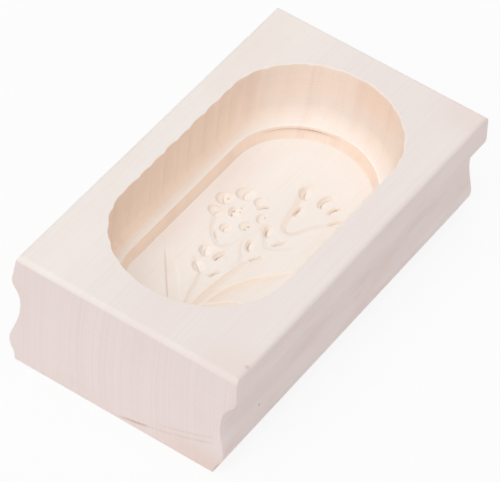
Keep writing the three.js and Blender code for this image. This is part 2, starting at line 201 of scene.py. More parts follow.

# Dished bodies of the flowers: the outline as a closed route, the depth at its
# upper left wall and at its lower right, how wide the wall is, and how strong
# the warm shade painted on it is
BODIES = [
    # bell flower
    dict(outline=[(12.4, -7.0), (13.9, -5.1), (16.1, -3.9), (21.6, -2.9), (27.4, -2.1), (33.4, -0.4),
                  (39.0, 0.3), (41.9, -1.4), (42.8, -3.9), (41.5, -6.7), (42.8, -10.3), (40.6, -15.3),
                  (36.8, -19.5), (31.2, -22.5), (27.7, -20.3), (25.3, -18.3), (22.8, -15.9), (18.6, -13.6),
                  (13.5, -10.8)],
         deep=1.1, shallow=0.2, wall=2.5, warm=0.75),
    # round flower's cup
    dict(outline=[(-9.3, 8.8), (-8.2, 11.2), (-6.3, 13.5), (-3.7, 15.6), (-0.7, 17.2), (3.8, 18.5),
                  (8.6, 16.9), (10.2, 10.9), (6.6, 5.9), (2.2, 4.2), (-3.4, 3.9), (-6.5, 5.0), (-8.7, 6.8)],
         deep=0.75, shallow=0.15, wall=2.1, warm=0.6),
    # lower left blossom
    dict(outline=[(-25.6, 4.5), (-23.4, 8.3), (-22.3, 10.1), (-19.0, 12.4), (-16.6, 11.2), (-14.3, 12.9),
                  (-11.0, 13.6), (-9.5, 9.3), (-9.4, 3.5), (-14.0, 1.7), (-18.8, -0.7), (-23.6, 1.3)],
         deep=0.65, shallow=0.15, wall=1.8, warm=0.7),
    # buds
    dict(outline=[(-10.7, -3.5), (-9.0, -1.3), (-5.2, 1.5), (-0.8, 3.1), (3.2, 2.1), (3.5, -1.5),
                  (-1.3, -4.7), (-4.6, -8.5), (-8.6, -7.5)],
         deep=0.5, shallow=0.15, wall=1.7, warm=0.6),
    dict(outline=[(1.6, -6.4), (4.2, -3.3), (7.8, 0.5), (12.2, 0.9), (13.0, -3.3), (10.8, -6.7),
                  (8.2, -13.1), (4.6, -11.5)],
         deep=0.5, shallow=0.15, wall=1.7, warm=0.65),
]


def ease(x):
    """The smooth step 3x² - 2x³, held to 0 below x = 0 and to 1 above x = 1."""
    x = np.clip(x, 0, 1)
    return x * x * (3 - 2 * x)


def nearness(away, width, power=2):
    """1 where away is 0, falling on both sides as e to the power -(away / width)², or with another even
    power in place of the 2."""
    return np.exp(-((away / width) ** power))


def put(name, data):
    """A mesh, light or camera put in the scene as an object."""
    item = bpy.data.objects.new(name, data)
    bpy.context.scene.collection.objects.link(item)
    return item


# Outside of the block
def bend(start, pull, end, steps):
    """A cubic Bezier from start down to end, as (inset, height) pairs without its first point. It leaves
    start straight down for pull[0] of the fall, and comes into end straight down for the last pull[1] of
    it."""
    (inset_a, high_a), (inset_b, high_b) = start, end
    fall = high_a - high_b
    t = np.linspace(0, 1, steps + 1)[1:]
    weights = np.stack([(1 - t) ** 3, 3 * (1 - t) ** 2 * t, 3 * (1 - t) * t**2, t**3])
    insets = np.array([inset_a, inset_a, inset_b, inset_b])
    heights = np.array([high_a, high_a - pull[0] * fall, high_b + pull[1] * fall, high_b])
    return np.stack([insets @ weights, heights @ weights], axis=1)


def side_profile():
    """The side moulding from the top edge down to the base, as (inset, height) pairs: a quarter round, a
    band that leans out a little on its way down, a hollow cove, a full nose, and a short foot."""
    quarter = np.linspace(0, math.pi / 2, 7)
    round_edge = np.stack([
        BAND_LEAN + TOP_ROUND * (1 - np.sin(quarter)),
        HEIGHT - TOP_ROUND * (1 - np.cos(quarter)),
    ], axis=1)
    band_bottom = HEIGHT - BAND_HEIGHT
    band_fall = np.array([2.2, 2.6, 3.5, 6.0, 9.0, BAND_HEIGHT - 0.6, BAND_HEIGHT])
    lean = BAND_LEAN * (BAND_HEIGHT - band_fall) / (BAND_HEIGHT - TOP_ROUND)
    band = np.stack([lean, HEIGHT - band_fall], axis=1)
    cove = (COVE_INSET, band_bottom + COVE_PLACE * (NOSE_HEIGHT - band_bottom))
    nose = (NOSE_INSET, NOSE_HEIGHT)
    foot = (FOOT_INSET, FOOT_HEIGHT)
    base_edge = [FOOT_INSET, 0.0] + BASE_EASE * np.array([[0.0, 1.0], [0.3, 0.3], [1.0, 0.0]])
    return np.concatenate([
        round_edge,
        band,
        bend((0.0, band_bottom), BAND_TO_COVE, cove, 11),
        bend(cove, COVE_TO_NOSE, nose, 11),
        bend(nose, NOSE_TO_FOOT, foot, 9),
        base_edge,
    ])


def end_inset(height):
    """How far each end stands in at a height: a 45 degree chamfer under the top, its lower edge softened by
    the logarithm of 1 + e^x, and a small ease at the base."""
    below_top = HEIGHT - height
    chamfer = CHAMFER_SOFTNESS * np.log1p(np.exp((END_CHAMFER - below_top) / CHAMFER_SOFTNESS))
    base = np.clip(BASE_EASE - height, 0, None)
    return chamfer + base


def rectangle_stations():
    """Stations anticlockwise round a rectangle from the middle of its near end: the share of the half
    length, the share of the half width, and the outward direction, which turns a quarter at each corner."""
    ends, sides, turns = 9, 44, 5
    half_end = np.linspace(0, 1, ends)[:-1]
    whole_end = np.linspace(-1, 1, 2 * ends)[1:-1]
    whole_side = np.linspace(-1, 1, sides)[1:-1]
    quarter = np.linspace(0, math.pi / 2, turns)
    parts = [
        (-np.ones(ends - 1), -half_end, np.full(ends - 1, math.pi)),
        (-np.ones(turns), -np.ones(turns), math.pi + quarter),
        (whole_side, -np.ones(sides - 2), np.full(sides - 2, 1.5 * math.pi)),
        (np.ones(turns), -np.ones(turns), 1.5 * math.pi + quarter),
        (np.ones(2 * ends - 2), whole_end, np.zeros(2 * ends - 2)),
        (np.ones(turns), np.ones(turns), quarter),
        (-whole_side, np.ones(sides - 2), np.full(sides - 2, 0.5 * math.pi)),
        (-np.ones(turns), np.ones(turns), 0.5 * math.pi + quarter),
        (-np.ones(ends - 2), half_end[:0:-1], np.full(ends - 2, math.pi)),
    ]
    return [np.concatenate(column) for column in zip(*parts)]


def outside_rings():
    """The outside as rings from just inside the top edge down and under to just inside the base: at each
    height a rectangle of that height's half length and half width, with its corners eased."""
    share_x, share_y, turn = rectangle_stations()
    inset, height = np.pad(side_profile(), ((1, 1), (0, 0)), "edge").T
    half_x = HALF_LENGTH - end_inset(height)
    half_y = HALF_WIDTH - inset
    for half in (half_x, half_y):
        half[[0, -1]] -= FACE_SUPPORT
    x = share_x * (half_x[:, None] - CORNER_EASE) + CORNER_EASE * np.cos(turn)
    y = share_y * (half_y[:, None] - CORNER_EASE) + CORNER_EASE * np.sin(turn)
    z = np.broadcast_to(height[:, None], x.shape)
    return np.stack([x, y, z], axis=2)


# Floor of the hollow
def floor_columns():
    """Columns across the long oval from its near tip to its far tip: where the spine is, and the outward
    direction's share along the length, -1 at the near tip, 0 along the straight and 1 at the far tip.
    Columns are close together under the sprig."""
    near_fine = (-SPRIG_NEAR - REACH) / FLOOR_RADIUS
    far_fine = (SPRIG_FAR - REACH) / FLOOR_RADIUS
    near_tip = -np.cos(np.linspace(0, math.acos(near_fine), 34))
    near_rest = np.linspace(-near_fine, 0, 55)[1:-1]
    straight = np.linspace(-REACH, REACH, 239)
    far_rest = np.linspace(0, far_fine, 22)[1:-1]
    far_tip = np.cos(np.linspace(math.acos(far_fine), 0, 42))
    near_lean = np.concatenate([near_tip, near_rest])
    far_lean = np.concatenate([far_rest, far_tip])
    spine = np.concatenate([np.full(near_lean.shape, -REACH), straight, np.full(far_lean.shape, REACH)])
    lean = np.concatenate([near_lean, np.zeros(straight.shape), far_lean])
    return spine, lean


def route_points(route, count):
    """A smooth curve through given points: a cubic Hermite whose direction at each point is half the
    step between its neighbours."""
    points = np.array(route)
    slopes = np.gradient(points, axis=0)
    place = np.linspace(0, len(points) - 1, count)
    start = np.minimum(place.astype(int), len(points) - 2)
    t = (place - start)[:, None]
    a, b = points[start], points[start + 1]
    slope_a, slope_b = slopes[start], slopes[start + 1]
    return (
        (2 * t**3 - 3 * t**2 + 1) * a + (t**3 - 2 * t**2 + t) * slope_a
        + (3 * t**2 - 2 * t**3) * b + (t**3 - t**2) * slope_b
    )


def beside(u, v, curve, margin=0.0):
    """Which points lie in a curve's box, widened by a margin."""
    return ((u > curve[:, 0].min() - margin) & (u < curve[:, 0].max() + margin)
            & (v > curve[:, 1].min() - margin) & (v < curve[:, 1].max() + margin))


def long_cut(u, v, route, width, depth, deep=0.5, taper=0.5, dark=0.0, warm=0.0, reach=1.0, rim=0.0):
    """Depth, painted shade, painted highlight and warm painted shade of a groove along a curve. Its size is
    sin(pi t) to the power taper at the share t of its length. Across it falls as 1 - (1 - s) to the power
    1.8 from its left edge to the deepest place, and rises from there to its right edge as a share to the
    power
    0.8. Wide grooves carry a painted highlight along the right edge, and a rim paints one on the left edge
    too. A thin dark line of painted shade and burn lies at the deepest place. The warm painted shade fades
    as e to the power -distance / reach from the left edge."""
    count = 30 * len(route)
    path = route_points(route, count)
    step = np.gradient(path, axis=0)
    ahead = step / np.linalg.norm(step, axis=1, keepdims=True)
    swell = np.sin(math.pi * np.linspace(0.01, 0.99, count)) ** taper
    near = beside(u, v, path, width)
    away = np.stack([u[near], v[near]], axis=1)[:, None, :] - path[None]
    nearest = np.argmin((away**2).sum(axis=2), axis=1)
    offset = away[np.arange(len(nearest)), nearest]
    facing = ahead[nearest]
    side = facing[:, 0] * offset[:, 1] - facing[:, 1] * offset[:, 0]
    beyond = np.clip(np.abs((facing * offset).sum(axis=1)) - 0.3, 0, None)
    size = swell[nearest]
    half = width / 2 * size
    place = np.sign(side) * np.hypot(side, beyond) / half
    from_left = 1 - (1 - np.clip((1 - place) / (1 - deep), 0, 1)) ** 1.8
    from_right = np.clip((1 + place) / (1 + deep), 0, 1) ** 0.8
    cut, shade, highlight, warmth = np.zeros((4, len(u)))
    within = np.abs(place) < 1
    cut[near] = depth * size * np.minimum(from_left, from_right)
    shade[near] = dark * size**0.5 * nearness((place - deep) * half + beyond, 0.32)
    highlight[near] = 0.5 * ease((width - 2.5) / 2) * size * nearness((place + 0.95) * half, 0.35) * within
    highlight[near] += rim * size**0.5 * nearness((place - 1) * half, 0.4)
    warmth[near] = warm * size**0.5 * np.exp(-(1 - place) * half / reach) * within
    return cut, shade, highlight, warmth


def petal_cut(u, v, at_u, at_v, faces, half_wide, ahead, behind, bow, depth, dark, darkest):
    """Depth, painted shade, painted highlight and warm painted shade of one petal. It is stabbed along a
    parabola, and its outline is half an ellipse ahead of the line and half another behind it. From the outer
    edge a bowl falls steeply, then ever less, to a small lip at the line; behind the line a bank rises as e
    to the power -distance, and runs out as a ramp to the inner edge. The line is painted dark, as shade and
    burn, with a warm painted shade beside it and over the bowl; a soft painted shadow lies inside the outer
    edge, and a painted highlight on the bank is strongest by the line."""
    turn = math.radians(faces)
    along = (u - at_u) * math.cos(turn) + (v - at_v) * math.sin(turn)
    across = (-(u - at_u) * math.sin(turn) + (v - at_v) * math.cos(turn)) / half_wide
    edge = np.sqrt(np.clip(1 - across**2, 0, None))
    front, rear = ahead * edge, behind * edge
    line = np.clip(-bow * (across * half_wide) ** 2, -rear, front)
    over = along - line
    bite = ease((0.95 - np.abs(across)) / 0.4)
    level = depth * edge**0.7
    stabbed = min(1.0, 2 * dark)
    lip = 0.35 * stabbed * bite
    outer = np.clip((front - along) / np.maximum(front - line, 1e-3), 0, 1)
    bowl = level * (1 - (1 - outer) ** 2.8) + lip * nearness(over, 0.22)
    back = np.clip(-over / np.maximum(line + rear, 1e-3), 0, 1)
    bank = (level + lip) * (1 - back) ** 1.35 * (0.55 + 0.45 * np.exp(over / 0.8))
    inside = (np.abs(across) < 1) & (along < front) & (along > -rear)
    in_bowl = inside & (over > 0)
    cut = np.where(in_bowl, bowl, np.where(inside, bank, 0))

    dark_line = dark * bite * (0.45 + 0.55 * nearness(across - darkest, 0.45))
    shadow = 0.13 * min(1.0, ahead / 2) * nearness(front - along, 1.1) * ease(edge / 0.7)
    shade = np.where(inside, dark_line * nearness(over - 0.06, 0.19), 0)
    shade = np.maximum(shade, np.where(in_bowl, shadow, 0))
    warmth = np.where(inside, 2.0 * dark_line * nearness(over - 0.1, 0.55), 0)
    warmth = np.maximum(warmth, np.where(in_bowl, 0.85 - 0.5 * outer, 0))
    lit = ease(-over / 0.5) * np.sqrt(1 - back) * ease((1 - np.abs(across)) / 0.5) * (0.3 + 0.7 * stabbed)
    lit = lit * (0.45 + 0.55 * np.exp(np.minimum(over, 0) / 1.2))
    highlight = np.where(inside & (over < 0), 0.95 * lit, 0)
    return cut, shade, highlight, warmth


def dot_cut(u, v, at_u, at_v, dark):
    """Depth, painted shade, painted highlight and warm painted shade of a round prick with sloping sides,
    painted dark in the middle, as shade and burn, with a warm painted shade round about and no highlight."""
    away = np.hypot(u - at_u, v - at_v)
    highlight = np.zeros_like(away)
    cut = (0.3 + 0.6 * dark) * np.clip(1.4 - away / 0.4, 0, 1)
    return cut, dark * nearness(away, 0.34, 4), highlight, 1.5 * dark * nearness(away, 0.9)


def body_cut(u, v, outline, deep, shallow, wall, warm):
    """Depth and warm painted shade of a flower's dished body: inside a closed curve it eases down over the
    width of its wall, to a bed that tilts from deep at the upper left to shallow at the lower right. A warm
    shade is painted on the wall half way down, most at the upper left, where the wall faces away from the
    light."""
    closed = [outline[-1], *outline, outline[0], outline[1]]
    stations = 14 * len(closed)
    curve = route_points(closed, stations)
    share = np.linspace(0, len(closed) - 1, stations)
    curve = curve[(share >= 1) & (share < len(closed) - 2)]
    cut, warmth = np.zeros((2, len(u)))
    near = beside(u, v, curve)
    at_u, at_v = u[near, None], v[near, None]
    distance = np.sqrt(((at_u - curve[:, 0]) ** 2 + (at_v - curve[:, 1]) ** 2).min(axis=1))
    following = np.roll(curve, -1, axis=0)
    spans = (curve[:, 1] > at_v) != (following[:, 1] > at_v)
    run, rise = (following - curve).T
    crossing = curve[:, 0] + (at_v - curve[:, 1]) * run / np.where(rise == 0, 1, rise)
    inside = (spans & (at_u < crossing)).sum(axis=1) % 2 == 1
    tilt = (at_v - 0.35 * at_u)[:, 0]
    tilt = (tilt - tilt.min()) / (tilt.max() - tilt.min())
    cut[near] = np.where(inside, (shallow + (deep - shallow) * tilt) * ease(distance / wall), 0)
    down = np.clip(distance / wall, 0, 1)
    warmth[near] = np.where(inside, warm * np.sqrt(4 * down * (1 - down)) * ease(1.6 * tilt - 0.3), 0)
    return cut, warmth


def sprig(u, v):
    """Depth, painted shade, painted highlight and warm painted shade of the carving on the floor: the dished
    bodies, and in them the deepest of all the cuts. A soft oval between the stems is tinted warm too."""
    cuts = [long_cut(u, v, **cut) for cut in LEAVES + STEMS + OUTLINES]
    cuts += [petal_cut(u, v, *petal) for petal in PETALS]
    cuts += [dot_cut(u, v, *dot) for dot in DOTS]
    bodies, body_warm = np.max([body_cut(u, v, **body) for body in BODIES], axis=0)
    deepest, dark, highlight, warm = np.max(cuts, axis=0)
    between_stems = 0.5 * nearness(u + 26, 20) * nearness(v + 5 + 0.15 * (u + 26), 4.5)
    warm = np.maximum(np.maximum(warm, body_warm), between_stems)
    return bodies + deepest, dark, highlight * (1 - dark), warm


def carved_floor(spine, lean, rows):
    """The floor's points on a grid of columns and rows, without its two tips, with the sprig cut into it;
    then how dark, how fresh and how warm the sprig is at each. The cuts run out at the floor's edge."""
    half = FLOOR_RADIUS * np.sqrt(np.clip(1 - lean**2, 0, None))
    u = (spine + FLOOR_RADIUS * lean)[1:-1, None] + 0 * rows
    v = half[1:-1, None] * rows
    depth, dark, highlight, warm = sprig(u.ravel(), v.ravel())
    edge = np.minimum(1 - np.abs(rows), 0.02) / 0.02
    z = FLOOR_Z - depth.reshape(u.shape) * edge
    return np.stack([MIDDLE[0] + u, MIDDLE[1] + v, z], axis=2), dark, highlight, warm


def steepness(grid):
    """How steep the carved floor is at each point: one less the upward share of its normal, from the
    differences of its neighbours, brought to 1 at about 40 degrees."""
    run = np.gradient(grid, axis=0)
    rise = np.gradient(grid, axis=1)
    normal = np.cross(run, rise)
    upward = normal[..., 2] / np.maximum(np.linalg.norm(normal, axis=2), 1e-9)
    return ease((1 - upward) / 0.25).ravel()


# Wall of the hollow
def edge_stations(spine, lean):
    """Stations once round the oval, anticlockwise from its near tip: where the spine is, and the outward
    direction."""
    out_x = np.concatenate([[-1.0], lean[1:-1], [1.0], lean[-2:0:-1]])
    side = np.concatenate([[0.0], -np.ones(len(lean) - 2), [0.0], np.ones(len(lean) - 2)])
    out_y = side * np.sqrt(np.clip(1 - out_x**2, 0, None))
    return np.concatenate([spine[:-1], spine[:0:-1]]), out_x, out_y


def flute_depth(around, down, random):
    """How far the gouge has gone in, at each distance round the rim and each share of the way down:
    parabolas side by side, each flute of its own width and depth, leaning a little as it goes down."""
    widths = random.uniform(*FLUTE_WIDTHS, FLUTES)
    edges = np.concatenate([[0], np.cumsum(widths)]) * RIM_LENGTH / widths.sum()
    depths = random.uniform(*FLUTE_DEPTHS, FLUTES)
    once_round = 2 * math.pi * around / RIM_LENGTH
    lean = 1.2 * np.sin(3 * once_round) + 0.7 * np.sin(8 * once_round)
    place = (around + lean * down) % RIM_LENGTH
    flute = np.clip(np.searchsorted(edges, place, side="right") - 1, 0, FLUTES - 1)
    share = (place - edges[flute]) / (edges[flute + 1] - edges[flute])
    return depths[flute] * (1 - (2 * share - 1) ** 2)


def step_profile():
    """The step's rings, from just above the floor's edge up to the ledge's inner edge, as radii and falls
    below the rim: a leaning line with both its ends eased."""
    lean = PANEL_LEAN * STEP_FALL / PANEL_DEPTH
    lean[0] += 0.06
    lean[-3:] -= (0.0, 0.03, 0.08)
    return LEDGE_EDGE - lean, WALL_DEPTH + STEP_FALL


def wall_profile():
    """The rings from the ledge's outer edge up to just outside the rim, as radii and falls below the rim: a
    quarter of an ellipse whose cosine is raised to the power CORNER_FULLNESS, the drafted wall, and the
    eased rim."""
    turn = np.linspace(math.pi / 2, 0, 11)
    corner_width = CORNER_EDGE - LEDGE_EDGE - LEDGE_WIDTH
    inwards = corner_width * (1 - np.clip(np.cos(turn), 0, 1) ** CORNER_FULLNESS)
    wall_fall = np.linspace(WALL_DEPTH - CORNER_HEIGHT, RIM_EASE, 11)[1:]
    rim_turn = np.linspace(0, math.pi / 2, 4)[1:]
    radius = np.concatenate([
        CORNER_EDGE - inwards,
        RIM_RADIUS - DRAFT * wall_fall,
        RIM_RADIUS + RIM_EASE * (1 - np.cos(rim_turn)),
        [RIM_RADIUS + 2.5 * RIM_EASE],
    ])
    fall = np.concatenate([
        WALL_DEPTH - CORNER_HEIGHT * (1 - np.sin(turn)),
        wall_fall,
        RIM_EASE * (1 - np.sin(rim_turn)),
        [0.0],
    ])
    return radius, fall


def dark_line_share(spine, out_x, out_y):
    """How dark the groove's line is at each place round the oval, painted as a burn mark and as shade in the
    groove: a stretch a little to the left of the far tip, fading as e to the power -angle⁴, and darkest
    nearer the tip."""
    turn = np.where(spine >= REACH - 1e-6, np.arctan2(out_y, np.maximum(out_x, 1e-9)), np.inf)
    return nearness(turn - 0.6, 0.46, 4) * (0.45 + 0.3 * nearness(turn - 0.36, 0.2))


def distance_round(spine, out_x, out_y):
    """How far round the rim each place of the oval is, from the first."""
    rim_x, rim_y = spine + RIM_RADIUS * out_x, RIM_RADIUS * out_y
    steps = np.hypot(np.diff(rim_x, append=rim_x[0]), np.diff(rim_y, append=rim_y[0]))
    return np.concatenate([[0], np.cumsum(steps)[:-1]]) * RIM_LENGTH / steps.sum()


def hollow_rings(spine, out_x, out_y):
    """The rings from just above the floor's edge up the step, over the ledge, round the corner, up the
    fluted wall and over the eased rim. Each ring is the oval at one radius and height. The flutes run out
    round the corner, and the groove at the far end goes into the step. Gives the points, and at each how
    dark its line is (a burn mark and painted shade), how far inside the hollow it is, how much of the wall's
    colour it takes (partly the wall's own tone, partly painted light and shade), and its painted highlight."""
    radius, fall = (np.concatenate(pair) for pair in zip(step_profile(), wall_profile()))
    below_ledge = fall - WALL_DEPTH
    on_step = np.arange(len(fall)) < len(STEP_FALL)
    dark_line = dark_line_share(spine, out_x, out_y)
    around = distance_round(spine, out_x, out_y)
    fluted = ease((WALL_DEPTH - fall) / CORNER_HEIGHT)
    flutes = flute_depth(around[None, :], fall[:, None] / WALL_DEPTH, np.random.default_rng(11))
    groove = np.where(on_step, nearness(below_ledge - GROOVE_FALL, GROOVE_WIDTH), 0)
    reach = radius[:, None] + fluted[:, None] * flutes
    reach = reach + GROOVE_DEPTH * groove[:, None] * dark_line[None, :]
    x = MIDDLE[0] + spine + reach * out_x
    y = MIDDLE[1] + reach * out_y
    z = np.broadcast_to((HEIGHT - fall)[:, None], x.shape)

    # The far end's groove is painted dark, as a burn mark and as shade in it, with a softer painted band
    # round it
    glow = np.where(on_step, 0.22 * nearness(below_ledge - 1.7, 0.9), 0)
    dark = np.maximum(groove, glow)[:, None] * dark_line[None, :]
    inside = np.broadcast_to(ease(fall / 0.12)[:, None], x.shape)
    # The step and the wall above the corner take the wall's colour, partly its own warmer tone and partly
    # painted shade. It fades round the corner, painted light where the corner turns up, and the far end is
    # paler low down, painted light from the near side and the floor
    up_wall = 0.25 + 0.75 * ease((radius - LEDGE_EDGE - 1.0) / 3.0)
    up_step = 0.85 + 0.15 * ease((5.2 - below_ledge) / 2.6)
    under_edge = below_ledge > 0.2
    far_end_light = np.where(under_edge, 0, 0.5 * ease((fall - 5) / 16))
    paler = far_end_light[:, None] * np.clip(out_x, 0, 1)[None, :]
    wall_tone_and_shade = np.where(under_edge, up_step, up_wall)[:, None] * (1 - paler)
    # Painted highlights along the ledge's edge and the rim's edge
    highlight = 0.8 * nearness(below_ledge, 0.08) + 0.3 * nearness(fall - 0.1, 0.15)
    highlight[-1] = 0
    highlight = np.broadcast_to(highlight[:, None], x.shape)
    return np.stack([x, y, z], axis=2), dark, inside, wall_tone_and_shade, highlight


# Faces, as arrays of corner numbers
def bridge(first, second):
    """Quads between two closed loops of as many points. Seen from the side they face, first to second is a
    quarter turn clockwise of the way the loops run."""
    return np.stack([first, second, np.roll(second, -1), np.roll(first, -1)], axis=1)


def zip_loops(inner, outer, points):
    """Triangles that fill the flat ring between two loops with unlike numbers of points. Both are put in
    the order of their angle round the hollow's middle, and each edge takes the last point before its end on
    the other loop."""
    def in_order(loop):
        away = points[loop, :2] - MIDDLE
        angle = np.arctan2(away[:, 1], away[:, 0])
        order = np.argsort(angle)
        return loop[order], angle[order]

    inner, inner_angle = in_order(inner)
    outer, outer_angle = in_order(outer)
    inner_next, outer_next = np.roll(inner, -1), np.roll(outer, -1)
    at_outer = np.searchsorted(outer_angle, np.roll(inner_angle, -1), side="left") - 1
    at_inner = np.searchsorted(inner_angle, np.roll(outer_angle, -1), side="right") - 1
    inner_faces = np.stack([inner, outer[at_outer], inner_next], axis=1)
    outer_faces = np.stack([inner[at_inner], outer, outer_next], axis=1)
    return np.concatenate([inner_faces, outer_faces])


def floor_faces(grid, near_tip, far_tip):
    """Quads between the floor's columns and rows, and a fan of triangles to each tip."""
    quads = np.stack([grid[:-1, :-1], grid[1:, :-1], grid[1:, 1:], grid[:-1, 1:]], axis=2).reshape(-1, 4)
    first, last = grid[0], grid[-1]
    near_fan = np.stack([np.full(len(first) - 1, near_tip), first[:-1], first[1:]], axis=1)
    far_fan = np.stack([last[:-1], np.full(len(last) - 1, far_tip), last[1:]], axis=1)
    return quads, [near_fan, far_fan]


# Whole block
def block_mesh():
    """The whole block as one closed skin: the carved floor, rings from its edge up to the rim, the top
    face, rings down the outside, and the underside. Gives its points in metres, its faces and the marks
    that the wood's colours, with their painted light and shade, follow."""
    spine, lean = floor_columns()
    floor, dark, highlight, warm = carved_floor(spine, lean, np.linspace(-1, 1, 160))
    tip = REACH + FLOOR_RADIUS
    tips = np.array([[MIDDLE[0] - tip, MIDDLE[1], FLOOR_Z], [MIDDLE[0] + tip, MIDDLE[1], FLOOR_Z]])
    rings, ring_dark, ring_inside, ring_wall_tone_and_shade, ring_highlight = hollow_rings(*edge_stations(spine, lean))
    outside = outside_rings()

    regions = [floor, tips, rings, outside]
    sizes = [region.size // 3 for region in regions]
    points = np.concatenate([region.reshape(-1, 3) for region in regions])
    numbers = np.split(np.arange(len(points)), np.cumsum(sizes)[:-1])
    grid, (near_tip, far_tip), inner, outer = (
        number.reshape(region.shape[:-1]) for number, region in zip(numbers, regions))

    floor_quads, fans = floor_faces(grid, near_tip, far_tip)
    edge_loop = np.concatenate([[near_tip], grid[:, 0], [far_tip], grid[::-1, -1]])
    quads = [floor_quads, bridge(edge_loop, inner[0])]
    quads += [bridge(low, high) for low, high in zip(inner[:-1], inner[1:])]
    quads += [bridge(high, low) for high, low in zip(outer[:-1], outer[1:])]
    triangles = [*fans, zip_loops(inner[-1], outer[0], points)]
    faces = np.concatenate(quads).tolist() + np.concatenate(triangles).tolist()
    faces.append(outer[-1][::-1].tolist())

    def mark(*values):
        """One mark at all the points: on the floor, at its tips, up the wall and on the outside."""
        return np.concatenate([np.broadcast_to(np.ravel(value), size) for value, size in zip(values, sizes)])

    # Marks that the colours follow, in turn: dark lines in the cuts, painted shade with a burn mark at the
    # far end; where the hollow is; the wall's colour, partly its own tone and partly painted light and
    # shade; warm painted shade on the carving's steep slopes, beside its cuts and on the bodies' walls, with
    # a warm oval between the stems; painted highlights; and the sides, painted pinker as shade
    marks = {
        "burn_and_shade": mark(dark, 0, ring_dark, 0),
        "hollow": mark(1, 1, ring_inside, 0),
        "wall": mark(0, 0, ring_wall_tone_and_shade, 0),
        "carved": mark(np.maximum(steepness(floor), warm), 0, 0, 0),
        "highlight": mark(highlight, 0, ring_highlight, 0),
        "side": mark(0, 0, 0, ease((HEIGHT - 1.3 - outside[..., 2]) / 0.8)),
    }
    return points * MM, faces, marks


# Materials
# Colours of the wood as sRGB, 0 to 255: the rings' early wood, then their late wood
TOP_HEART = ((240, 230, 226), (238, 226, 222))
TOP_SAP = ((244, 236, 230), (242, 232, 226))
# The sides and ends, painted pinker than the top as shade
SIDES = ((243, 229, 226), (240, 223, 219))
FLOOR_HEART = ((242, 238, 234), (240, 236, 230))
FLOOR_SAP = ((247, 242, 238), (245, 239, 234))
# Wall colours: its own warmer tone, with painted shade high up and painted light low down and on the far end
WALL_HIGH = ((252, 229, 211), (247, 220, 200))
WALL_LOW = ((255, 236, 219), (253, 230, 211))
WALL_FAR = ((254, 239, 228), (252, 233, 220))
# Colours that the wood is brought towards
BROWNER_CORNERS = (235, 218, 210)
BROWNER_FIGURE = (228, 203, 192)
GREYER_FIGURE = (246, 234, 232)
DARK_STROKES = (236, 210, 190)
LIGHT_STROKES = (255, 238, 220)
TOOL_LINES = (240, 210, 186)
FIBRES = (232, 214, 203)
MOTTLING = (238, 219, 209)
# Warm painted shade on the carving's steep slopes, beside its cuts and on the bodies' walls
WARM_SHADE_BROWN = (240, 204, 168)
# Painted highlight on the carving's banks and edges, the ledge and the rim
PAINTED_HIGHLIGHT = (255, 250, 241)
SAW_MARKS = (225, 205, 200)
BROWN_STREAK = (194, 136, 104)
BROWN_TINGE = (232, 190, 164)
FLECK = (160, 94, 74)
# Dark lines in the cuts and in the far end's groove, painted as shade and as burn marks
BURN_AND_SHADE_BROWN = (140, 76, 26)

# Places in the wood, in metres
END_FACE = HALF_LENGTH * MM  # from the block's middle
PITH_Y = -0.300
PITH_Z = 0.050
SAPWOOD = (0.30, 0.34)  # from the pith, where heartwood turns to sapwood
BAND_SPACING = 0.0060
RING_SPACING = 0.0011
RING_SWAY = 0.004
SAW_SPACING = 0.0009
TOOL_SPACING = 0.0008
STREAK_Y = -0.0032  # where the brown streak starts on the near end
# Small dark flecks on the right side: place, radius and strength
FLECKS = [
    ((-0.0621, -0.0454, 0.0162), 0.0009, 0.5),
    ((-0.0786, -0.0462, 0.0508), 0.0014, 0.3),
]


def linear(colour):
    """An sRGB colour, 0 to 255, as the linear colour that a node takes."""
    share = np.array(colour) / 255
    value = np.where(share <= 0.04045, share / 12.92, ((share + 0.055) / 1.055) ** 2.4)
    return (*value.tolist(), 1.0)


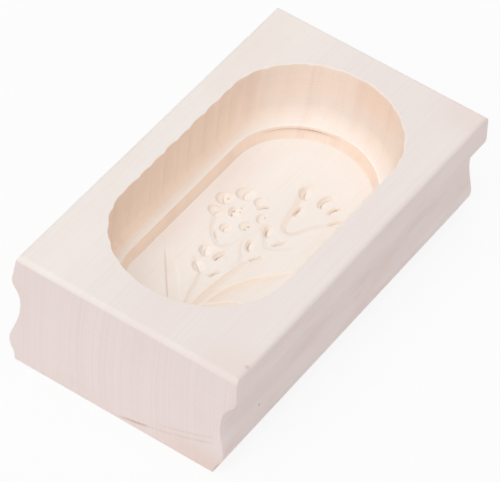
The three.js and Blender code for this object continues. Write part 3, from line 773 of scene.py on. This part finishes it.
class Bench:
    """The node tree of a material or a world, with short ways to lay and join nodes."""

    def __init__(self, owner):
        owner.use_nodes = True
        self.nodes = owner.node_tree.nodes
        self.links = owner.node_tree.links
        self.nodes.clear()

    def lay(self, kind, inputs=None, **settings):
        """Adds a node, sets what is given, and joins each input that is another node's output."""
        node = self.nodes.new(kind)
        for name, value in settings.items():
            setattr(node, name, value)
        for socket, value in (inputs or {}).items():
            if isinstance(value, bpy.types.NodeSocket):
                self.links.new(value, node.inputs[socket])
            else:
                node.inputs[socket].default_value = value
        return node

    def sum(self, operation, *values):
        """The result of a Math node."""
        return self.lay("ShaderNodeMath", dict(enumerate(values)), operation=operation).outputs[0]

    def spread(self, value, low, high, to_low=0.0, to_high=1.0):
        """A value's range turned into another, held at both ends and smooth between them."""
        inputs = {"Value": value, "From Min": low, "From Max": high, "To Min": to_low, "To Max": to_high}
        return self.lay("ShaderNodeMapRange", inputs, interpolation_type="SMOOTHSTEP").outputs[0]

    def noise(self, place, scale, detail, roughness=0.5):
        """A noise from 0 to 1 of a place that is scaled on each axis."""
        scaled = self.lay("ShaderNodeMapping", {"Vector": place, "Scale": scale}).outputs[0]
        inputs = {"Vector": scaled, "Scale": 1.0, "Detail": detail, "Roughness": roughness}
        return self.lay("ShaderNodeTexNoise", inputs, noise_dimensions="3D").outputs["Fac"]

    def lines(self, value, spacing, roughness=0.6):
        """A noise from 0 to 1 of one value alone, which makes uneven lines about a spacing apart."""
        steps = self.sum("DIVIDE", value, spacing)
        inputs = {"W": steps, "Scale": 1.0, "Detail": 2.0, "Roughness": roughness}
        return self.lay("ShaderNodeTexNoise", inputs, noise_dimensions="1D").outputs["Fac"]

    def blend(self, share, first, second):
        """Two colours mixed by a share."""
        inputs = {0: share, 6: first, 7: second}
        return self.lay("ShaderNodeMix", inputs, data_type="RGBA").outputs[2]

    def product(self, first, *others):
        """Some values multiplied, from left to right."""
        for other in others:
            first = self.sum("MULTIPLY", first, other)
        return first

    def wood(self, late, colours):
        """The colour between early and late wood."""
        early_wood, late_wood = colours
        return self.blend(late, linear(early_wood), linear(late_wood))

    def tint(self, colour, share, towards):
        """A colour brought a share of the way towards another."""
        return self.blend(share, colour, linear(towards))

    def mark(self, name):
        """One of the mesh's own attributes."""
        return self.lay("ShaderNodeAttribute", attribute_name=name).outputs["Fac"]

    def seen(self):
        """1 for the camera's own rays and for those that a reflection or a clear piece sends on, else 0."""
        rays = self.lay("ShaderNodeLightPath").outputs
        sent_on = self.sum("MAXIMUM", rays["Is Glossy Ray"], rays["Is Transmission Ray"])
        return self.sum("MAXIMUM", rays["Is Camera Ray"], sent_on)


def growth_rings(bench, place, y, z):
    """The share of sapwood, which grows with the distance from the pith, swayed by a slow noise; and how
    late the wood is, by a noise of that distance for the broad bands and another for the fine rings."""
    sway = bench.noise(place, (4, 16, 16), 2.0)
    from_pith = bench.lay("ShaderNodeCombineXYZ", {
        "Y": bench.sum("SUBTRACT", y, PITH_Y),
        "Z": bench.sum("SUBTRACT", z, PITH_Z),
    }).outputs[0]
    radius = bench.lay("ShaderNodeVectorMath", {0: from_pith}, operation="LENGTH").outputs["Value"]
    radius = bench.sum("MULTIPLY_ADD", sway, RING_SWAY, radius)
    broad = bench.spread(bench.lines(radius, BAND_SPACING, 0.5), 0.35, 0.75, 0, 0.32)
    fine = bench.spread(bench.lines(radius, RING_SPACING), 0.35, 0.75, 0, 0.6)
    return bench.spread(radius, *SAPWOOD), bench.sum("ADD", broad, fine)


def outside_wood(bench, place, x, y, sap, late):
    """The top, browner in the corners of its right side, and the sides, painted pinker and a little darker
    as shade, with a soft figure on the long ones."""
    top = bench.blend(sap, bench.wood(late, TOP_HEART), bench.wood(late, TOP_SAP))
    from_middle = bench.sum("ABSOLUTE", x)
    corners = bench.product(bench.spread(from_middle, 0.064, 0.084), bench.spread(y, -0.044, -0.018, 0.6, 0))
    top = bench.tint(top, corners, BROWNER_CORNERS)
    sides = bench.wood(late, SIDES)
    figure = bench.noise(place, (30, 90, 120), 3.0, 0.55)
    long_side = bench.product(
        bench.spread(bench.sum("ABSOLUTE", y), 0.0415, 0.0435),
        bench.spread(from_middle, END_FACE - 0.0020, END_FACE - 0.0002, 1, 0),
    )
    browner = bench.product(bench.spread(figure, 0.3, 0.5, 0.3, 0), long_side)
    greyer = bench.product(bench.spread(figure, 0.5, 0.7, 0, 0.25), long_side)
    sides = bench.tint(sides, browner, BROWNER_FIGURE)
    sides = bench.tint(sides, greyer, GREYER_FIGURE)
    # The sides and ends take the pinker colour painted as shade
    return bench.blend(bench.mark("side"), top, sides)


def hollow_wood(bench, place, x, y, z, sap, late):
    """The pale floor and the warmer wall, partly its own tone and partly painted shade, darker high up and
    paler low down where it is painted as lit from the floor, with upright strokes of the gouge and, at the
    far end, fine level lines of the tool. The far end is paler, painted light, but for its right part."""
    floor = bench.blend(sap, bench.wood(late, FLOOR_HEART), bench.wood(late, FLOOR_SAP))
    low, high = bench.wood(late, WALL_LOW), bench.wood(late, WALL_HIGH)
    # Painted light and shade: the wall is paler low down, lit from the floor, and darker high up
    wall = bench.blend(bench.spread(z, 0.024, 0.049), low, high)
    # Painted light: the far end is paler, but for its right part
    redder = bench.product(bench.spread(y, -0.025, -0.016), bench.spread(y, -0.006, 0.006, 0.85, 0))
    pale_end = bench.product(bench.spread(x, 0.035, 0.065), bench.sum("SUBTRACT", 1.0, redder))
    wall = bench.blend(pale_end, wall, bench.wood(late, WALL_FAR))
    stroke = bench.noise(place, (150, 150, 8), 2.0)
    wall = bench.tint(wall, bench.spread(stroke, 0.3, 0.5, 0.25, 0), DARK_STROKES)
    wall = bench.tint(wall, bench.spread(stroke, 0.5, 0.7, 0, 0.3), LIGHT_STROKES)
    level_lines = bench.spread(bench.lines(z, TOOL_SPACING), 0.45, 0.75, 0, 0.2)
    tooled = bench.product(level_lines, bench.spread(x, 0.03, 0.06))
    wall = bench.tint(wall, tooled, TOOL_LINES)
    return bench.blend(bench.mark("wall"), floor, wall)


def near_end_marks(bench, place, x, y, z, fibre, colour):
    """Saw marks on the near end, and low in it a brown streak: the nearness to a parabola, roughened by the
    fibres, broken by a blotchy noise and fading to the right, with a fainter arc above it and a brown tinge
    at the foot."""
    sawn = bench.spread(bench.lines(z, SAW_SPACING), 0.45, 0.75, 0, 0.1)
    on_face = bench.spread(x, -END_FACE + 0.0002, -END_FACE + 0.0010, 1, 0)
    colour = bench.tint(colour, bench.product(sawn, on_face), SAW_MARKS)

    fading_in = bench.spread(x, -END_FACE + 0.0002, -END_FACE + 0.0170, 1, 0)
    along = bench.sum("SUBTRACT", STREAK_Y, y)
    curve = bench.sum("MULTIPLY_ADD", bench.sum("MULTIPLY_ADD", along, 3.5, 0.2), along, 0.0016)
    curve = bench.sum("MULTIPLY_ADD", bench.sum("SUBTRACT", fibre, 0.5), 0.0008, curve)
    above = bench.sum("SUBTRACT", z, curve)
    blotch = bench.noise(place, (40, 420, 420), 1.0)
    streak = bench.product(
        bench.spread(bench.sum("ABSOLUTE", above), 0.0001, 0.0010, 1, 0),
        bench.spread(along, 0.008, 0.016, 0.52, 0.16),
        bench.spread(along, -0.002, 0.002),
        bench.spread(blotch, 0.38, 0.58, 0.45, 1),
    )
    arc = bench.product(
        bench.spread(bench.sum("ABSOLUTE", bench.sum("SUBTRACT", above, 0.0028)), 0.0001, 0.0008, 1, 0),
        bench.spread(along, 0.012, 0.024, 0, 0.13),
    )
    ending = bench.spread(along, 0.034, 0.041, 1, 0)
    streak = bench.product(bench.sum("MAXIMUM", streak, arc), fading_in, ending)
    colour = bench.tint(colour, streak, BROWN_STREAK)
    tinge = bench.product(bench.spread(z, 0.003, 0.014, 0.24, 0), bench.spread(along, 0.008, 0.034))
    return bench.tint(colour, bench.product(tinge, fading_in), BROWN_TINGE)


def pale_maple():
    """Close-grained maple as solid wood: growth rings about a pith far off to the right of the block, fibres
    along its length, a little mottling, warmer wood inside the hollow, partly painted shade, the marks of
    the tools, and on the carving painted shade, painted highlights and dark lines painted as shade and burn."""
    maple = bpy.data.materials.new("pale_maple")
    bench = Bench(maple)
    place = bench.lay("ShaderNodeTexCoord").outputs["Object"]
    x, y, z = bench.lay("ShaderNodeSeparateXYZ", {0: place}).outputs
    sap, late = growth_rings(bench, place, y, z)
    fibre = bench.noise(place, (40, 1200, 1200), 3.0, 0.65)
    mottle = bench.noise(place, (12, 30, 30), 3.0, 0.55)

    outside = outside_wood(bench, place, x, y, sap, late)
    inside = hollow_wood(bench, place, x, y, z, sap, late)
    colour = bench.blend(bench.mark("hollow"), outside, inside)
    colour = bench.tint(colour, bench.spread(fibre, 0.5, 0.85, 0, 0.25), FIBRES)
    colour = bench.tint(colour, bench.spread(mottle, 0.45, 0.8, 0, 0.35), MOTTLING)
    # Warm painted shade on the carving's steep slopes, beside its cuts and on the bodies' walls
    colour = bench.tint(colour, bench.product(bench.mark("carved"), 0.25), WARM_SHADE_BROWN)
    # Painted highlights on the carving's banks and edges, the ledge and the rim
    colour = bench.tint(colour, bench.product(bench.mark("highlight"), 0.8), PAINTED_HIGHLIGHT)
    colour = near_end_marks(bench, place, x, y, z, fibre, colour)
    for fleck, size, strength in FLECKS:
        away = bench.lay("ShaderNodeVectorMath", {0: place, 1: fleck}, operation="DISTANCE").outputs["Value"]
        colour = bench.tint(colour, bench.spread(away, 0.0, size, strength, 0), FLECK)
    # Dark lines in the cuts and in the far end's groove, painted as shade and as burn marks
    colour = bench.tint(colour, bench.product(bench.mark("burn_and_shade"), 0.9), BURN_AND_SHADE_BROWN)

    grain = bench.sum("ADD", bench.product(fibre, 0.6), bench.product(late, 0.5))
    bump = bench.lay("ShaderNodeBump", {"Height": grain, "Strength": 0.1, "Distance": 0.0004}).outputs[0]
    shader = bench.lay("ShaderNodeBsdfPrincipled", {
        "Base Color": colour,
        "Roughness": bench.spread(fibre, 0.3, 0.8, 0.52, 0.68),
        "Normal": bump,
        "Specular IOR Level": 0.35,
    })
    bench.lay("ShaderNodeOutputMaterial", {"Surface": shader.outputs[0]})
    return maple


# Piece
def make_block():
    """The mould, riding on the root body in the place of the CAD's block."""
    points, faces, marks = block_mesh()
    mesh = bpy.data.meshes.new("butter_mould_block")
    mesh.from_pydata(points.tolist(), [], faces)
    for name, values in marks.items():
        mark = mesh.attributes.new(name, "FLOAT", "POINT")
        mark.data.foreach_set("value", values.astype(np.float32))
    mesh.polygons.foreach_set("use_smooth", np.ones(len(mesh.polygons), bool))
    mesh.materials.append(pale_maple())
    mesh.update()
    block = put("butter_mould_block", mesh)
    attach(block, "root")
    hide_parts("mould_block")


# Stage
# Paper: half its width in metres, its grey, and how far it is lifted to white
PAPER_HALF = 4.0
PAPER_GREY = 0.88
PAPER_LIFT = 0.85

# Light: name, direction that it comes from, strength, and softness in degrees
ROOM_LIGHT = 0.49
LIGHTS = [
    ("window_light", (-0.7, 0.0, 1.0), 1.05, 50),
    ("ceiling_light", (0.05, 0.2, 1.0), 0.56, 60),
    ("right_light", (-0.2, -1.0, 0.6), 0.12, 60),
]

# Camera: place in metres, and its turn in degrees, round the upright, then down
# and then about its own axis
CAMERA_PLACE = Vector((-0.95828, -0.476755, 1.102525))
CAMERA_TURN = (26.4445, 45.2914, 9.4350)
CAMERA_LENS = 294.6


def white_paper():
    """The floor: white paper that takes the mould's shadow, and is lifted nearly to full white where it is
    seen."""
    paper = bpy.data.materials.new("white_paper")
    bench = Bench(paper)
    matt = bench.lay("ShaderNodeBsdfDiffuse", {"Color": (PAPER_GREY, PAPER_GREY, PAPER_GREY, 1)})
    white = bench.lay("ShaderNodeEmission", {"Color": (1, 1, 1, 1), "Strength": 1.0})
    lifted = bench.product(bench.seen(), PAPER_LIFT)
    both = bench.lay("ShaderNodeMixShader", {0: lifted, 1: matt.outputs[0], 2: white.outputs[0]})
    bench.lay("ShaderNodeOutputMaterial", {"Surface": both.outputs[0]})
    return paper


def make_floor():
    """The paper that the mould stands on, as one wide square."""
    half = PAPER_HALF
    corners = [(-half, -half, 0), (half, -half, 0), (half, half, 0), (-half, half, 0)]
    mesh = bpy.data.meshes.new("paper_floor")
    mesh.from_pydata(corners, [], [(0, 1, 2, 3)])
    mesh.materials.append(white_paper())
    floor = put("paper_floor", mesh)


def make_world():
    """Even light from all round, and white where the camera or a reflection sees past the floor."""
    world = bpy.data.worlds.new("soft_room")
    bench = Bench(world)
    room = bench.lay("ShaderNodeBackground", {"Color": (1, 1, 1, 1), "Strength": ROOM_LIGHT})
    white = bench.lay("ShaderNodeBackground", {"Color": (1, 1, 1, 1), "Strength": 1.0})
    both = bench.lay("ShaderNodeMixShader", {0: bench.seen(), 1: room.outputs[0], 2: white.outputs[0]})
    bench.lay("ShaderNodeOutputWorld", {"Surface": both.outputs[0]})
    bpy.context.scene.world = world


def make_sun(name, direction, strength, softness):
    """A broad soft light from far off in one direction, with its softness as an angle in degrees."""
    sun = bpy.data.lights.new(name, "SUN")
    sun.energy = strength
    sun.angle = math.radians(softness)
    lamp = put(name, sun)
    lamp.rotation_euler = Vector(direction).normalized().to_track_quat("Z", "Y").to_euler()


def make_camera():
    """The photograph's viewing angle: from the near right and above, a little turned about its own axis."""
    round_z, down, roll = (math.radians(angle) for angle in CAMERA_TURN)
    forward = Vector((
        math.cos(down) * math.cos(round_z),
        math.cos(down) * math.sin(round_z),
        -math.sin(down),
    ))
    level = forward.cross(Vector((0, 0, 1))).normalized()
    upright = level.cross(forward)
    right = level * math.cos(roll) + upright * math.sin(roll)
    up = upright * math.cos(roll) - level * math.sin(roll)
    camera = bpy.data.cameras.new("camera")
    camera.sensor_width = 36
    camera.lens = CAMERA_LENS
    camera.clip_start = 0.05
    camera.clip_end = 50
    holder = put("camera", camera)
    turn = Matrix((right, up, -forward)).transposed().to_4x4()
    holder.matrix_world = Matrix.Translation(CAMERA_PLACE) @ turn
    bpy.context.scene.camera = holder


make_camera()
make_world()
for light in LIGHTS:
    make_sun(*light)
make_floor()
make_block()
bpy.context.scene.view_settings.view_transform = "Standard"
